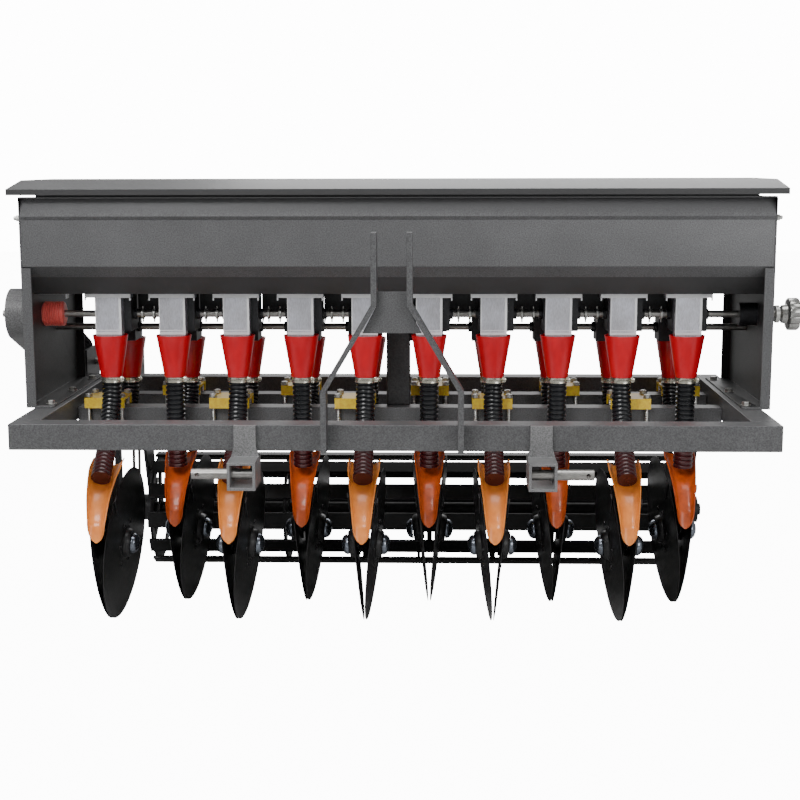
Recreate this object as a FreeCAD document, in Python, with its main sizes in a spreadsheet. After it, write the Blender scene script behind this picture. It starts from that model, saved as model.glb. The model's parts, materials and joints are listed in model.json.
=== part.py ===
"""Ten-row mounted seed drill: hopper, metering units, disc openers and cage roller.

Millimetres. +Z is up, +X is to the machine's left seen from the tractor, and the tractor is on the -Y side.
The origin is on the ground under the middle of the machine. Y distances in the sheet are counted
rearwards from the front beam's front face.
"""
import FreeCAD, Part
import math
import os
import re
import Sketcher

DIMENSIONS = {
    "row_pitch": 145,
    "beam_y": -422.5,
    "beam_long": 1603,
    "beam_size": 55,
    "beam_top": 505,
    "tube_wall": 3.5,
    "frame_back": 745,
    "toolbar_size": 50,
    "toolbar_top": 480,
    "front_toolbar": 370,
    "rank_gap": 195,
    "plate_out": 818.6,
    "plate_thick": 4,
    "plate_flange": 22,
    "plate_foot": 60,
    "hopper_front": 204,
    "hopper_deep": 458,
    "hopper_rim": 968,
    "panel_top": 918,
    "panel_low": 817.6,
    "floor_low": 750.7,
    "bevel_deep": 80,
    "sheet_thick": 3,
    "lid_half": 838,
    "lid_front": 182,
    "lid_low": 972,
    "lid_edge": 985,
    "lid_ridge": 1003,
    "lid_bevel": 121,
    "lid_thick": 2,
    "hinge_y": 692,
    "hinge_z": 968,
    "shaft_radius": 8,
    "running_gap": 0.08,
    "front_shaft_y": 368,
    "front_shaft_z": 698,
    "rear_shaft_y": 472,
    "rear_shaft_z": 657,
    "housing_left": 32,
    "housing_right": 46,
    "housing_half": 34,
    "housing_wall": 6,
    "chute_half": 29,
    "chute_deep": 30,
    "chute_thick": 2,
    "chute_plate_half": 52,
    "cup_top_radius": 40,
    "cup_low_radius": 24,
    "cup_tall": 95,
    "cup_wall": 2,
    "front_cup_y": 320,
    "front_cup_top": 655,
    "rear_cup_y": 519,
    "rear_cup_top": 626,
    "hose_radius": 22,
    "drop_tube_y": 470,
    "drop_tube_top": 416,
    "drop_tube_tall": 52,
    "disc_radius": 175,
    "disc_thick": 4,
    "disc_tilt": 6.5,
    "disc_contact_angle": 60,
    "disc_offset": 22.2,
    "front_disc_ahead": 70,
    "rear_disc_ahead": 115,
    "axle_radius": 12,
    "hub_radius": 34,
    "shank_wide": 20,
    "shank_thick": 16,
    "shank_low": 410,
    "casting_thick": 12,
    "boot_inner": 188,
    "boot_outer": 214,
    "boot_half": 28,
    "boot_wall": 3,
    "boot_foot_angle": 14,
    "boot_sweep": 68,
    "mast_thick": 12,
    "mast_deep": 50,
    "mast_half_top": 30,
    "mast_half_low": 134,
    "mast_tip": 902,
    "mast_bend": 757,
    "mast_splay_low": 581,
    "mast_low": 455,
    "top_link_radius": 9.65,
    "mast_height": 460,
    "hitch_pin_z": 411,
    "hitch_shoulder": 335,
    "hitch_pin_long": 76,
    "hitch_pin_radius": 11,
    "hitch_stub_size": 58,
    "hitch_stub_front": 75,
    "roller_y": 775,
    "roller_radius": 145,
    "roller_left": 645,
    "roller_right": 730,
    "roller_bar_wide": 40,
    "roller_bar_thick": 8,
    "roller_axle_radius": 15,
    "jackshaft_y": 795,
    "jackshaft_z": 530,
    "jackshaft_radius": 10,
    "sprocket_radius": 30,
    "chain_tall": 8,
    "chain_wide": 6,
    "inner_chain_x": -700,
    "outer_chain_x": -845,
    "cover_radius": 58,
    "cover_out": 891,
    "half_width": 910,
    "knob_radius": 37,
    "knob_long": 38,
    "collar_x": 858,
    "collar_long": 8,
}
ROWS = 10
RINGS = 5
BARS = 12
KNURLS = 24

doc = FreeCAD.newDocument("SeedDrill")
sheet = doc.addObject("Spreadsheet::Sheet", "Dims")
for number, (alias, size) in enumerate(DIMENSIONS.items(), start=1):
    sheet.set(f"A{number}", alias)
    sheet.set(f"B{number}", str(size))
    sheet.setAlias(f"B{number}", alias)
doc.recompute()

ALONG = {
    "x": FreeCAD.Rotation(FreeCAD.Vector(0, 1, 0), 90),
    "y": FreeCAD.Rotation(FreeCAD.Vector(1, 0, 0), -90),
    "z": FreeCAD.Rotation(),
}
SKETCH_PLANE = {
    "x": FreeCAD.Rotation(FreeCAD.Vector(1, 1, 1), 120),
    "y": FreeCAD.Rotation(FreeCAD.Vector(1, 0, 0), 90),
    "z": FreeCAD.Rotation(),
}
DIRECTION = {
    "x": FreeCAD.Vector(1, 0, 0),
    "y": FreeCAD.Vector(0, 1, 0),
    "z": FreeCAD.Vector(0, 0, 1),
}
parts = []


# ---------------------------------------------------------------- helpers

def cells(expression):
    """An expression with every alias in it addressed to the sheet."""
    return re.sub(
        r"[a-z_]+", lambda word: f"Dims.{word[0]}" if word[0] in DIMENSIONS else word[0], str(expression))


def value(expression):
    return float(sheet.evalExpression(cells(expression)))


def back(expression):
    """Y in the row frame of a distance behind the front beam's face."""
    return f"beam_y + ({expression})"


def bind(item, **sizes):
    for name, expression in sizes.items():
        item.setExpression(name, cells(expression))
    return item


def locate(item, place, rotation=None):
    if rotation is not None:
        item.Placement = FreeCAD.Placement(FreeCAD.Vector(), rotation)
    for axis, expression in zip("xyz", place):
        item.setExpression(f"Placement.Base.{axis}", cells(expression))
    return item


def box(size, corner):
    item = bind(doc.addObject("Part::Box", "Block"), Length=size[0], Width=size[1], Height=size[2])
    return locate(item, corner)


def rod(radius, length, start, along="x"):
    item = bind(doc.addObject("Part::Cylinder", "Rod"), Radius=radius, Height=length)
    return locate(item, start, ALONG[along])


def cone(low_radius, top_radius, height, start):
    item = bind(doc.addObject("Part::Cone", "Cone"), Radius1=low_radius, Radius2=top_radius, Height=height)
    return locate(item, start)


def collect(items):
    item = doc.addObject("Part::Compound", "Set")
    item.Links = items
    return item


def cut(base, *tools):
    item = doc.addObject("Part::Cut", "Cut")
    item.Base = base
    item.Tool = tools[0] if len(tools) == 1 else collect(list(tools))
    return item


def fuse(*items):
    item = doc.addObject("Part::MultiFuse", "Joined")
    item.Shapes = list(items)
    return item


def ring(radius, bore, length, start, along="x"):
    return cut(rod(radius, length, start, along), rod(bore, length, start, along))


def copy(master, place, rotation=None):
    return locate(collect([master]), place, rotation)


def outline(points, plane, start):
    """A closed sketch of straight lines whose corners are bound to the sheet."""
    sketch = doc.addObject("Sketcher::SketchObject", "Outline")
    corners = [FreeCAD.Vector(value(u), value(v), 0) for u, v in points]
    count = len(points)
    for index in range(count):
        sketch.addGeometry(Part.LineSegment(corners[index], corners[(index + 1) % count]))
    for index in range(count):
        sketch.addConstraint(Sketcher.Constraint("Coincident", index, 2, (index + 1) % count, 1))
    for index, (u, v) in enumerate(points):
        for kind, expression in (("DistanceX", u), ("DistanceY", v)):
            number = sketch.addConstraint(Sketcher.Constraint(kind, -1, 1, index, 1, value(expression)))
            sketch.setExpression(f"Constraints[{number}]", cells(expression))
    return locate(sketch, start, SKETCH_PLANE[plane])


def prism(points, plane, start, length):
    """The outline pushed along the axis that its plane is named after."""
    item = doc.addObject("Part::Extrusion", "Prism")
    item.Base = outline(points, plane, start)
    item.DirMode = "Custom"
    item.Dir = DIRECTION[plane]
    item.Solid = True
    return bind(item, LengthFwd=length)


def square_tube(size, corner, along):
    """A square tube with open ends along x or y."""
    axis = "xyz".index(along)
    hollow = [side if number == axis else f"{side} - 2 * tube_wall" for number, side in enumerate(size)]
    shift = [place if number == axis else f"{place} + tube_wall" for number, place in enumerate(corner)]
    return cut(box(size, corner), box(hollow, shift))


def sub_part(name, *items):
    item = items[0] if len(items) == 1 else collect(list(items))
    item.Label = name
    parts.append(item)


def row_x(row):
    return f"row_pitch * {row - (ROWS - 1) / 2}"


def stadium(radius, inset, start_x, length):
    """A slab with round ends around the front metering shaft and the jackshaft."""
    run_y = value("jackshaft_y - front_shaft_y")
    run_z = value("jackshaft_z - front_shaft_z")
    slope = math.degrees(math.atan2(run_z, run_y))
    reach = f"{radius} - {inset}"
    front = (start_x, back("front_shaft_y"), "front_shaft_z")
    rear = (start_x, back("jackshaft_y"), "jackshaft_z")
    middle = doc.addObject("Part::Box", "Block")
    bind(middle, Length=length, Width=math.hypot(run_y, run_z), Height=f"2 * ({reach})")
    side = math.radians(slope)
    drop_y = f"({reach}) * {math.sin(side)}"
    drop_z = f"({reach}) * {-math.cos(side)}"
    locate(middle, (start_x, f"{front[1]} + {drop_y}", f"{front[2]} + {drop_z}"),
           FreeCAD.Rotation(FreeCAD.Vector(1, 0, 0), slope))
    return fuse(rod(reach, length, front), rod(reach, length, rear), middle)


# ---------------------------------------------------------------- frame

def build_frame():
    half = "beam_long / 2"
    low = "beam_top - beam_size"
    inside = f"{half} - beam_size"
    sub_part("front_beam", square_tube(
        ("beam_long", "beam_size", "beam_size"), (f"-{half}", back(0), low), "x"))
    rails = [
        square_tube(("beam_size", "frame_back - beam_size", "beam_size"), (x, back("beam_size"), low), "y")
        for x in (f"-{half}", inside)]
    sub_part("side_rails", *rails)
    bars = [
        square_tube((f"2 * ({inside})", "toolbar_size", "toolbar_size"),
                    (f"-({inside})", back(f"front_toolbar + {rank} * rank_gap"), "toolbar_top - toolbar_size"), "x")
        for rank in (0, 1)]
    sub_part("opener_toolbars", *bars)
    sub_part("rear_crossbar", square_tube(
        (f"2 * ({inside})", "beam_size", "beam_size"), (f"-({inside})", back("frame_back - beam_size"), low), "x"))
    post_deep = 33
    sub_part("hopper_post", box(
        ("beam_size", post_deep, "floor_low - toolbar_top"), ("-beam_size / 2", back(403.5), "toolbar_top")))


def build_hitch():
    top_out = "mast_half_top + mast_thick"
    low_out = "mast_half_low + mast_thick"
    pieces = []
    for side in (-1, 1):
        points = [
            (f"{side} * mast_half_top", "mast_tip"),
            (f"{side} * ({top_out})", "mast_tip"),
            (f"{side} * ({top_out})", "mast_bend"),
            (f"{side} * ({low_out})", "mast_splay_low"),
            (f"{side} * ({low_out})", "mast_low"),
            (f"{side} * mast_half_low", "mast_low"),
            (f"{side} * mast_half_low", "mast_splay_low"),
            (f"{side} * mast_half_top", "mast_bend"),
        ]
        strap = prism(points, "y", (0, back("-mast_deep"), 0), "mast_deep")
        bore = rod("top_link_radius", "mast_deep * 2",
                   ("-mast_deep", back("-mast_deep / 2"), "hitch_pin_z + mast_height"))
        pieces.append(cut(strap, bore))
    plate_top = "mast_bend + 26"
    plate_low = "mast_bend - 58"
    brace = [
        ("-mast_half_top", plate_top), ("mast_half_top", plate_top), ("mast_half_top", "mast_bend"),
        ("mast_half_top * 2", plate_low), ("-mast_half_top * 2", plate_low), ("-mast_half_top", "mast_bend"),
    ]
    pieces.append(prism(brace, "y", (0, back("-mast_deep * 0.6"), 0), "mast_thick * 0.6"))
    sub_part("hitch_mast", *pieces)

    wall = 6
    stub_long = 95
    plate_wide = 46
    bevel = 20
    pin_y = back("-hitch_stub_front * 0.6")
    brackets = []
    pins = []
    for side in (-1, 1):
        left = "-hitch_shoulder" if side < 0 else "hitch_shoulder - hitch_stub_size"
        stub_low = "hitch_pin_z - hitch_stub_size / 2"
        outer = box(("hitch_stub_size", stub_long, "hitch_stub_size"), (left, back("-hitch_stub_front"), stub_low))
        inner = box((f"hitch_stub_size - {2 * wall}", stub_long, f"hitch_stub_size - {2 * wall}"),
                    (f"{left} + {wall}", back("-hitch_stub_front"), f"{stub_low} + {wall}"))
        bore = rod("hitch_pin_radius", "hitch_stub_size", (left, pin_y, "hitch_pin_z"))
        stub_top = f"{stub_low} + hitch_stub_size"
        plate_left = f"{left} + hitch_stub_size / 2 - {plate_wide / 2}"
        plate = prism([
            (f"{plate_left}", "beam_top"),
            (f"{plate_left} + {plate_wide}", "beam_top"),
            (f"{plate_left} + {plate_wide}", f"{stub_top} + {bevel}"),
            (f"{left} + hitch_stub_size", stub_top),
            (left, stub_top),
            (plate_left, f"{stub_top} + {bevel}"),
        ], "y", (0, back(-10), 0), 10)
        brackets.append(fuse(cut(outer, inner, bore), plate))
        start = "-hitch_shoulder - hitch_pin_long" if side < 0 else "hitch_shoulder - hitch_stub_size"
        pin = rod("hitch_pin_radius", "hitch_pin_long + hitch_stub_size", (start, pin_y, "hitch_pin_z"))
        hole_x = f"{side} * (hitch_shoulder + hitch_pin_long - 12)"
        hole = rod(4.5, "hitch_pin_radius * 4",
                   (hole_x, f"{pin_y} - 2 * hitch_pin_radius", "hitch_pin_z"), "y")
        pins.append(cut(pin, hole))
    sub_part("hitch_brackets", *brackets)
    sub_part("hitch_pins", *pins)


# ---------------------------------------------------------------- hopper

def build_end_plates():
    plates = []
    for side in (-1, 1):
        left = "-plate_out" if side < 0 else "plate_out - plate_thick"
        sheet_plate = box(("plate_thick", "hopper_deep", "hopper_rim - sheet_thick - beam_top"),
                          (left, back("hopper_front"), "beam_top"))
        fold_left = "-plate_out" if side < 0 else "plate_out - plate_flange"
        folds = [
            box(("plate_flange", "plate_thick", "panel_low - 4 - beam_top"), (fold_left, back(y), "beam_top"))
            for y in ("hopper_front", "hopper_front + hopper_deep - plate_thick")]
        foot_left = "-plate_out" if side < 0 else "plate_out - plate_foot"
        foot = box(("plate_foot", "hopper_deep", "plate_thick"), (foot_left, back("hopper_front"), "beam_top"))
        clearance = "shaft_radius + 1"
        holes = [
            rod(clearance, "plate_foot * 2", (f"{left} - plate_foot", back(y), z))
            for y, z in (("front_shaft_y", "front_shaft_z"), ("rear_shaft_y", "rear_shaft_z"))]
        plates.append(cut(fuse(sheet_plate, *folds, foot), *holes))
    sub_part("end_plates", *plates)


def build_hopper():
    rim_out = 14
    crease_out = 8
    band_in = 5
    mirror = "2 * hopper_front + hopper_deep"
    front_outer = [
        (f"hopper_front - {rim_out}", "hopper_rim - sheet_thick"),
        (f"hopper_front + {band_in}", "hopper_rim - sheet_thick"),
        (f"hopper_front - {crease_out}", "panel_top + 8"),
        ("hopper_front", "panel_top"),
        ("hopper_front", "panel_low"),
        ("hopper_front + bevel_deep", "floor_low"),
    ]
    front_inner = [
        (f"hopper_front - {rim_out}", "hopper_rim"),
        (f"hopper_front + {band_in} + sheet_thick", "hopper_rim"),
        (f"hopper_front - {crease_out} + 1.2 * sheet_thick", "panel_top + 8"),
        ("hopper_front + sheet_thick", "panel_top"),
        ("hopper_front + sheet_thick", "panel_low + 1.5"),
        ("hopper_front + bevel_deep + 1.2", "floor_low + sheet_thick"),
    ]
    rear_outer = [(f"{mirror} - ({y})", z) for y, z in reversed(front_outer)]
    rear_inner = [(f"{mirror} - ({y})", z) for y, z in front_inner]
    trough = prism(front_outer + rear_outer + rear_inner + front_inner[::-1], "x",
                   ("-(plate_out - plate_thick)", "beam_y", 0), "2 * (plate_out - plate_thick)")
    inlet = 30
    inlets = [
        box((inlet, inlet, "sheet_thick * 4"),
            (f"{row_x(row)} - 8", f"{back(y)} - {inlet / 2}", "floor_low - sheet_thick"))
        for row in range(ROWS) for y in ("front_shaft_y", "rear_shaft_y")]
    sub_part("hopper_shell", cut(trough, *inlets))


def build_lid():
    mirror = "2 * hopper_front + hopper_deep"
    outer = [("lid_front", "lid_low"), ("lid_front", "lid_edge"), ("lid_front + lid_bevel", "lid_ridge")]
    inner = [
        ("lid_front + lid_thick", "lid_low"),
        ("lid_front + lid_thick", "lid_edge - lid_thick"),
        ("lid_front + lid_bevel", "lid_ridge - lid_thick"),
    ]
    skin = outer + [(f"{mirror} - ({y})", z) for y, z in reversed(outer)]
    skin += [(f"{mirror} - ({y})", z) for y, z in inner] + inner[::-1]
    panel = prism(skin, "x", ("-lid_half", "beam_y", 0), "2 * lid_half")
    face = outer + [(f"{mirror} - ({y})", z) for y, z in reversed(outer)]
    ends = [
        prism(face, "x", (x, "beam_y", 0), "lid_thick")
        for x in ("-lid_half", "lid_half - lid_thick")]
    rest_thick = 3
    rest = box(("plate_out * 1.9", rest_thick, "lid_edge - hopper_rim + 0.7"),
               ("-plate_out * 0.95", back("lid_front + 16"), "hopper_rim + 0.3"))
    gap = 0.25
    knuckle = 14
    middle = 15
    knuckles = []
    for station in (-600, 0, 600):
        for x in (station - middle - gap - knuckle, station + middle + gap):
            barrel = rod(6, knuckle, (x, back("hinge_y"), "hinge_z"))
            tab = box((knuckle, f"hinge_y - ({mirror}) + lid_front + lid_thick", 7),
                      (x, back(f"{mirror} - lid_front - lid_thick"), "lid_low"))
            knuckles.append(cut(fuse(barrel, tab), rod("3 + running_gap", knuckle, (x, back("hinge_y"), "hinge_z"))))
    sub_part("hopper_lid", fuse(panel, *ends, rest, *knuckles))
    leaves = []
    for station in (-600, 0, 600):
        leaf_y = f"{mirror} - hopper_front + 14"
        barrel = rod(6, 2 * middle, (station - middle, back("hinge_y"), "hinge_z"))
        pin_half = middle + gap + knuckle
        pin = rod(3, 2 * pin_half, (station - pin_half, back("hinge_y"), "hinge_z"))
        leaf = box((2 * middle, f"hinge_y - ({leaf_y})", 3), (station - middle, back(leaf_y), "hopper_rim - 5"))
        leaves.append(fuse(barrel, pin, leaf))
    sub_part("lid_hinges", *leaves)


# ---------------------------------------------------------------- metering

def housing(drop, low):
    """A metering housing hung from the hopper floor, with its shaft on the local X axis."""
    wide = "housing_left + housing_right"
    shell = box((wide, "2 * housing_half", f"{drop} + {low}"), ("-housing_left", "-housing_half", -low))
    cavity_long = f"{wide} - 2 * housing_wall"
    cavity = rod(25, cavity_long, ("-housing_left + housing_wall", 0, 0))
    throat = box((34, 34, f"{drop} + 1"), (-10, -17, 0))
    mouth = box((40, "housing_half", 36), (-20, "-housing_half", -22))
    bore = rod("shaft_radius + running_gap", "2 * plate_foot", ("-plate_foot", 0, 0))
    return cut(shell, fuse(cavity, throat, mouth, bore))


def chute(drop, below):
    """A sheet-metal outlet in front of a housing, with its fixing plate under the hopper floor."""
    front = "-housing_half - chute_deep"
    tall = f"{drop} + {below}"
    outer = box(("2 * chute_half", "chute_deep", tall), ("-chute_half", front, -below))
    inner = box(("2 * (chute_half - chute_thick)", "chute_deep", tall),
                ("-chute_half + chute_thick", f"{front} + chute_thick", -below))
    plate = box(("2 * chute_plate_half", "chute_deep", "chute_thick"),
                ("-chute_plate_half", front, f"{drop} - chute_thick"))
    opening = box(("2 * (chute_half - chute_thick)", "chute_deep - chute_thick", "chute_thick * 3"),
                  ("-chute_half + chute_thick", f"{front} + chute_thick", f"{drop} - 2 * chute_thick"))
    tabs = [
        box(("chute_thick", "chute_deep", 12), (x, front, f"{drop} - 12"))
        for x in ("-chute_plate_half", "chute_plate_half - chute_thick")]
    return cut(fuse(outer, plate, *tabs), inner, opening)


def build_metering():
    turned = FreeCAD.Rotation(FreeCAD.Vector(0, 0, 1), 180)
    front_drop = "floor_low - front_shaft_z"
    rear_drop = "floor_low - rear_shaft_z"
    chute_below = 48
    front_set = (housing(front_drop, 36), chute(front_drop, chute_below), "front_shaft_y", "front_shaft_z", None)
    rear_set = (housing(rear_drop, 30), chute(rear_drop, chute_below - 12), "rear_shaft_y", "rear_shaft_z", turned)
    housings = []
    chutes = []
    for box_master, chute_master, y, z, rotation in (front_set, rear_set):
        for row in range(ROWS):
            place = (row_x(row), back(y), z)
            housings.append(copy(box_master, place, rotation))
            chutes.append(copy(chute_master, place, rotation))
    sub_part("metering_housings", *housings)
    sub_part("outlet_chutes", *chutes)

    bushing_long = 8
    bushings = []
    for y, z, left, right in (
            ("front_shaft_y", "front_shaft_z", "housing_left", "housing_right"),
            ("rear_shaft_y", "rear_shaft_z", "housing_right", "housing_left")):
        for row in range(ROWS):
            for x in (f"{row_x(row)} - {left} - {bushing_long}", f"{row_x(row)} + {right}"):
                bushings.append(ring(12, "shaft_radius + running_gap", bushing_long, (x, back(y), z)))
    tube_long = 40
    tube_x = f"plate_out - plate_thick - {tube_long}"
    bushings.append(ring(26, "shaft_radius + running_gap", tube_long, (tube_x, back("front_shaft_y"), "front_shaft_z")))
    sub_part("shaft_bushings", *bushings)
    cap_long = 48
    cap_x = "-(plate_out - plate_thick)"
    cap = ring(28.5, "shaft_radius + running_gap", cap_long, (cap_x, back("front_shaft_y"), "front_shaft_z"))
    sub_part("shaft_end_cap", cap)


def feed_rollers(place_y, place_z, offset):
    return [
        ring(21, "shaft_radius", 30, (f"{row_x(row)} + {offset}", back(place_y), place_z))
        for row in range(ROWS)]


def build_shafts():
    front = (back("front_shaft_y"), "front_shaft_z")
    rear = (back("rear_shaft_y"), "rear_shaft_z")
    front_long = "2 * half_width"
    shaft = rod("shaft_radius", front_long, ("-half_width", *front))
    sub_part("front_meter_shaft", shaft, *feed_rollers("front_shaft_y", "front_shaft_z", 9))
    sprocket_x = "outer_chain_x - chain_wide / 2"
    sub_part("front_sprocket", ring(
        "sprocket_radius - 0.3", "shaft_radius + running_gap", "chain_wide", (sprocket_x, *front)))
    rear_rod = rod("shaft_radius", "plate_out + 13 - outer_chain_x + 8", ("outer_chain_x - 8", *rear))
    rear_wheel = ring("sprocket_radius - 0.3", "shaft_radius", "chain_wide", (sprocket_x, *rear))
    sub_part("rear_meter_shaft", fuse(rear_rod, rear_wheel), *feed_rollers("rear_shaft_y", "rear_shaft_z", -39))
    sub_part("thrust_collar", ring(20, "shaft_radius + running_gap", "collar_long", ("collar_x", *front)))
    knob_x = "half_width - knob_long"
    body = rod("knob_radius - 1.5", "knob_long", (knob_x, *front))
    knurls = []
    for index in range(KNURLS):
        angle = 2 * math.pi * index / KNURLS
        reach_y = f"(knob_radius - 2.5) * {math.cos(angle)}"
        reach_z = f"(knob_radius - 2.5) * {math.sin(angle)}"
        knurls.append(rod(2.5, "knob_long", (knob_x, f"{front[0]} + {reach_y}", f"{front[1]} + {reach_z}")))
    bore = rod("shaft_radius + running_gap", "knob_long", (knob_x, *front))
    sub_part("adjuster_knob", cut(fuse(body, *knurls), bore))


# ---------------------------------------------------------------- seed path

def build_cups():
    cups = []
    clamps = []
    for y, top in (("front_cup_y", "front_cup_top"), ("rear_cup_y", "rear_cup_top")):
        for row in range(ROWS):
            low = (row_x(row), back(y), f"{top} - cup_tall")
            outer = cone("cup_low_radius", "cup_top_radius", "cup_tall", low)
            inner = cone("cup_low_radius - cup_wall", "cup_top_radius - cup_wall", "cup_tall", low)
            cups.append(cut(outer, inner))
            band_low = f"{top} - cup_tall - 12"
            band = ring("hose_radius + 2", "hose_radius + 0.1", 10, (row_x(row), back(y), band_low), "z")
            ear = box((8, 16, 8), (f"{row_x(row)} - 4", f"{back(y)} - hose_radius - 17", f"{band_low} + 1"))
            clamps.append(fuse(band, ear))
    sub_part("seed_cups", *cups)
    sub_part("hose_clamps", *clamps)


def hose(x, points, radius):
    """A round hose through (y, z) points, with an arc tangent to both runs at every inner point."""
    corners = [FreeCAD.Vector(x, y, z) for y, z in points]
    edges = []
    start = corners[0]
    for before, corner, after in zip(corners, corners[1:], corners[2:]):
        into = (corner - before).normalize()
        out = (after - corner).normalize()
        turn = into.getAngle(out)
        shorter = min((corner - before).Length, (after - corner).Length)
        reach = 0.45 * shorter
        bend = reach / math.tan(turn / 2)
        first = corner - into * reach
        last = corner + out * reach
        inward = (out - into).normalize()
        centre = corner + inward * (bend / math.cos(turn / 2))
        edges.append(Part.LineSegment(start, first).toShape())
        edges.append(Part.Arc(first, centre - inward * bend, last).toShape())
        start = last
    edges.append(Part.LineSegment(start, corners[-1]).toShape())
    path = Part.Wire(edges)
    section = Part.Wire(Part.makeCircle(radius, corners[0], (corners[1] - corners[0]).normalize()))
    return path.makePipeShell([section], True, False)


def build_hoses():
    base = value("beam_y")
    radius = value("hose_radius")
    front_y = value("front_cup_y")
    rear_y = value("rear_cup_y")
    front_low = value("front_cup_top - cup_tall")
    rear_low = value("rear_cup_top - cup_tall")
    drop_y = value("drop_tube_y")
    drop_z = value("drop_tube_top") - 36
    boot_path = {0: [(front_y, 462), (178, 352)], 1: [(front_y, 440), (328, 352)]}
    solids = []
    for row in range(ROWS):
        rank = row % 2
        x = value(row_x(row))
        front_path = [(front_y, front_low), *boot_path[rank]]
        rear_path = [(rear_y, rear_low), (rear_y, rear_low - 35), (drop_y, 430), (drop_y, drop_z)]
        for path in (front_path, rear_path):
            solids.append(hose(x, [(y + base, z) for y, z in path], radius))
    item = doc.addObject("Part::Feature", "Hoses")
    item.Shape = Part.makeCompound(solids)
    sub_part("seed_hoses", item)


# ---------------------------------------------------------------- openers

def toolbar_y(row):
    return f"front_toolbar + {row % 2} * rank_gap"


def disc_y(row):
    ahead = "rear_disc_ahead" if row % 2 else "front_disc_ahead"
    return f"{toolbar_y(row)} - {ahead}"


def disc_normal(side):
    """The outward axle direction of a disc: the pair meets low down at the front."""
    tilt = math.radians(value("disc_tilt"))
    contact = math.radians(value("disc_contact_angle"))
    return FreeCAD.Vector(
        side * math.cos(tilt), -math.sin(tilt) * math.cos(contact), -math.sin(tilt) * math.sin(contact))


def disc_height():
    """Axle height that puts the tilted disc's lowest edge on the ground."""
    lean = abs(disc_normal(1).z)
    return f"disc_radius * {math.sqrt(1 - lean * lean)} + disc_thick / 2 * {lean}"


def disc_rotation(side):
    return FreeCAD.Rotation(FreeCAD.Vector(0, 0, 1), disc_normal(side))


def build_shanks():
    shanks = []
    saddles = []
    bolts = []
    stud_x = 38
    stud_radius = 5
    stud_gap = 8
    saddle_half = 46
    saddle_thick = 6
    for row in range(ROWS):
        shift = 27 * (0 if row in (5, 6) else math.copysign(1, row - 5))
        x = f"{row_x(row)} + {shift}"
        face = back(toolbar_y(row))
        shank_left = f"{row_x(row)} + {0.45 * shift} - shank_wide / 2"
        shanks.append(box(("shank_wide", "shank_thick", "toolbar_top - shank_low"),
                          (shank_left, f"{face} - shank_thick", "shank_low")))
        deep = "toolbar_size + shank_thick + 20"
        front = f"{face} - shank_thick - 3"
        top_tall = 24
        channel = box((2 * saddle_half, deep, top_tall), (f"{x} - {saddle_half}", front, "toolbar_top"))
        hollow = box((2 * saddle_half, f"{deep} - {2 * saddle_thick}", top_tall - saddle_thick),
                     (f"{x} - {saddle_half}", f"{front} + {saddle_thick}", "toolbar_top"))
        strap_low = f"toolbar_top - toolbar_size - {saddle_thick}"
        strap = box((2 * saddle_half, deep, saddle_thick), (f"{x} - {saddle_half}", front, strap_low))
        slot = box(("shank_wide + 0.4", "shank_thick + 3", saddle_thick),
                   (f"{shank_left} - 0.2", front, strap_low))
        stations = [
            (f"{x} + {sign * stud_x}", y)
            for sign in (-1, 1)
            for y in (f"{face} - {stud_gap}", f"{face} + toolbar_size + {stud_gap}")]
        holes = [
            rod(stud_radius, "toolbar_size * 3", (px, py, "toolbar_top - toolbar_size * 2"), "z")
            for px, py in stations]
        saddles.append(cut(channel, hollow, *holes))
        saddles.append(cut(strap, slot, *holes))
        for px, py in stations:
            stud = rod(stud_radius, f"toolbar_size + {top_tall + 24}", (px, py, f"{strap_low} - 8"), "z")
            upper = rod(8, 8, (px, py, f"toolbar_top + {top_tall}"), "z")
            lower = rod(8, 8, (px, py, f"{strap_low} - 8"), "z")
            bolts.append(fuse(stud, upper, lower))
    sub_part("opener_shanks", *shanks)
    sub_part("saddle_clamps", *saddles)
    sub_part("clamp_bolts", *bolts)


def casting(head_y):
    """The web between two discs with a stub axle for each; the disc centre is the local origin."""
    head_z = f"shank_low - ({disc_height()})"
    web = prism([
        (f"{head_y} - shank_thick", head_z), (head_y, head_z), (75, 95), (30, -28), (-28, -28), (-60, 30),
        (-132, 132), (-94, 162), (-20, 105), (40, 150),
    ], "x", ("-casting_thick / 2", 0, 0), "casting_thick")
    axles = []
    for side in (-1, 1):
        normal = disc_normal(side)
        root = FreeCAD.Vector(side * value("disc_offset"), 0, 0) - normal * 18
        item = doc.addObject("Part::Cylinder", "StubAxle")
        bind(item, Radius="axle_radius", Height=32)
        axles.append(locate(item, (root.x, root.y, root.z), disc_rotation(side)))
    return fuse(web, *axles)


def boot():
    """A channel bent around the discs' front edge, open to the front; the disc centre is the local origin."""
    sketch = outline([
        ("-boot_half", "boot_outer"), ("-boot_half", "boot_inner"), ("boot_half", "boot_inner"),
        ("boot_half", "boot_outer"), ("boot_half - boot_wall", "boot_outer"),
        ("boot_half - boot_wall", "boot_inner + boot_wall"), ("-boot_half + boot_wall", "boot_inner + boot_wall"),
        ("-boot_half + boot_wall", "boot_outer"),
    ], "y", (0, 0, 0))
    sketch.Placement = FreeCAD.Placement(
        FreeCAD.Vector(), FreeCAD.Rotation(FreeCAD.Vector(1, 0, 0), 180 - value("boot_foot_angle")))
    item = doc.addObject("Part::Revolution", "Boot")
    item.Source = sketch
    item.Axis = FreeCAD.Vector(-1, 0, 0)
    item.Solid = True
    return bind(item, Angle="boot_sweep")


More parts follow.
